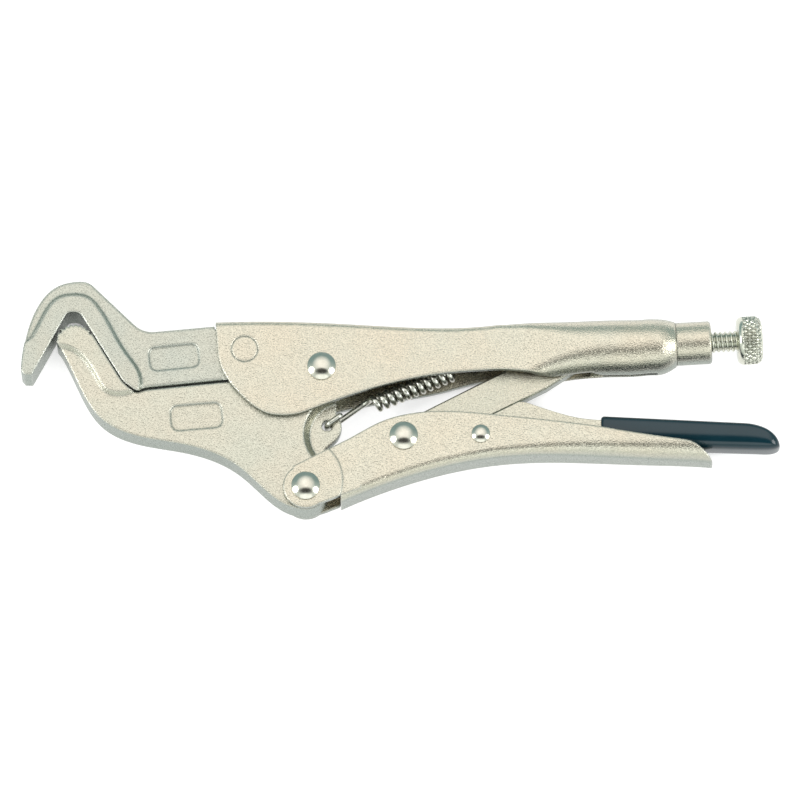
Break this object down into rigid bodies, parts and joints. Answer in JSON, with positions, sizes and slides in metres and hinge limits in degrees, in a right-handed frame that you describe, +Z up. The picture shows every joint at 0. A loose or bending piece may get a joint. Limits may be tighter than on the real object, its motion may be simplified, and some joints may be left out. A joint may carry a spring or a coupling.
{
  "type": "locking pliers",
  "caption": "Locking pliers with a hooked upper jaw, a toothed moving jaw, a toggle-locked handle, a coated release lever and a knurled adjusting screw.",
  "frame": {"origin": "main pivot axis where the flat lower head of the main rivet rests on the bench", "axes": "+X from the jaws towards the adjusting knob, +Y from the moving handle towards the fixed handle, +Z up from the bench, along all the pivots"},
  "size_m": [0.25, 0.0783, 0.0193],
  "materials": {
    "plated_sheet": "satin nickel plate",
    "plated_forging": "satin nickel plate on a blasted forging",
    "polished_rivet": "polished nickel plate",
    "turned_steel": "bright nickel plate",
    "spring_wire": "bright spring wire",
    "dipped_coat": "glossy dipped vinyl"
  },
  "bodies": {
    "fixed_handle": {"upper_handle": "plated_sheet", "upper_jaw": "plated_forging", "jaw_pin": "plated_forging", "main_rivet": "polished_rivet", "end_bush": "turned_steel", "return_spring": "spring_wire"},
    "moving_jaw": {"lower_jaw": "plated_forging"},
    "moving_handle": {"lower_handle": "plated_sheet", "tail_rivet": "polished_rivet", "toggle_rivet": "polished_rivet", "lever_rivet": "polished_rivet"},
    "toggle": {"toggle_link": "plated_forging"},
    "lever": {"release_lever": "plated_sheet", "lever_grip": "dipped_coat"},
    "screw": {"adjusting_screw": "turned_steel"}
  },
  "joints": [
    {"name": "jaw_open", "type": "hinge", "parent": "fixed_handle", "child": "moving_jaw", "pos_m": [0, 0, 0.0094], "axis": [0, 0, 1], "range_deg": [0, 10], "deforming": ["return_spring"]},
    {"name": "handle_open", "type": "hinge", "parent": "moving_jaw", "child": "moving_handle", "pos_m": [-0.00515, -0.04086, 0.0094], "axis": [0, 0, -1], "range_deg": [0, 40]},
    {"name": "toggle_swing", "type": "hinge", "parent": "moving_handle", "child": "toggle", "pos_m": [0.02706, -0.0237, 0.0094], "axis": [0, 0, 1], "range_deg": [0, 50]},
    {"name": "lever_press", "type": "hinge", "parent": "moving_handle", "child": "lever", "pos_m": [0.0524, -0.02306, 0.0094], "axis": [0, 0, 1], "range_deg": [0, 8]},
    {"name": "screw_feed", "type": "slide", "parent": "fixed_handle", "child": "screw", "axis": [0.9984, 0.0567, 0], "range_m": [0, 0.012]}
  ],
  "couplings": [
    {"joint": "jaw_open", "follows": "handle_open", "ratio": 0.25},
    {"joint": "toggle_swing", "follows": "handle_open", "ratio": 1.25},
    {"joint": "lever_press", "follows": "handle_open", "ratio": 0.2}
  ]
}
